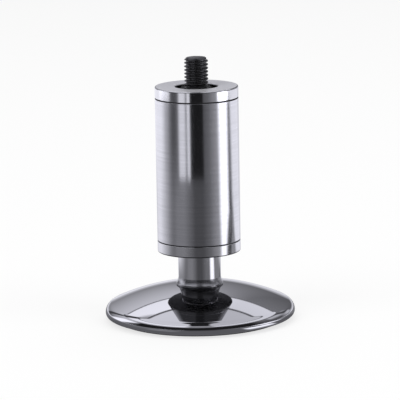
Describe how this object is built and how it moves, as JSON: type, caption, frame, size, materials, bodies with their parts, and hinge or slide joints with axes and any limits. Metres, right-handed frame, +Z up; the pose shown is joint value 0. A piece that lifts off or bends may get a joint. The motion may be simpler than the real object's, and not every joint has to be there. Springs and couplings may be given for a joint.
{
  "type": "furniture foot",
  "caption": "Height-adjustable furniture foot: satin cylinder with polished rings and threaded stud, on a thin neck and a wide mirror-plated domed base.",
  "frame": {"origin": "centre of the floor circle, under the base, with the foot screwed right in", "axes": "+Z up along the foot's axis, from the base to the threaded stud; +X to the right of the picture's camera, +Y away from it"},
  "size_m": [0.08, 0.08, 0.111],
  "materials": {
    "satin_sleeve": "satin, finely turned around the axis, chrome plated",
    "polished_chrome": "polished chrome plate",
    "mirror_dome": "mirror chrome plate on a die casting",
    "turned_steel": "turned steel, plain zinc",
    "black_steel": "black oxide, slightly oiled",
    "plated_fastener": "bright zinc plate",
    "white_nylon": "moulded nylon",
    "black_rubber": "matte moulded rubber"
  },
  "bodies": {
    "leg_body": {"sleeve": "satin_sleeve", "top_ring": "polished_chrome", "bottom_ring": "polished_chrome", "guide_bush": "white_nylon", "stud_insert": "turned_steel", "stud": "black_steel", "adjusting_nut": "turned_steel"},
    "lift_washer": {"thrust_washer": "white_nylon"},
    "foot": {"neck": "polished_chrome", "spindle": "plated_fastener", "stop_washer": "plated_fastener", "stop_nut": "plated_fastener", "base_dome": "mirror_dome", "screw_washer": "plated_fastener", "base_screw": "plated_fastener", "floor_ring": "black_rubber"}
  },
  "joints": [
    {"name": "height_adjust", "type": "slide", "parent": "leg_body", "child": "lift_washer", "axis": [0, 0, -1], "range_m": [0, 0.01]},
    {"name": "base_turn", "type": "hinge", "parent": "lift_washer", "child": "foot", "pos_m": [0, 0, 0], "axis": [0, 0, -1], "range_deg": [0, 2400]}
  ],
  "couplings": [
    {"joint": "height_adjust", "follows": "base_turn", "m_per_rad": 0.00023873}
  ]
}
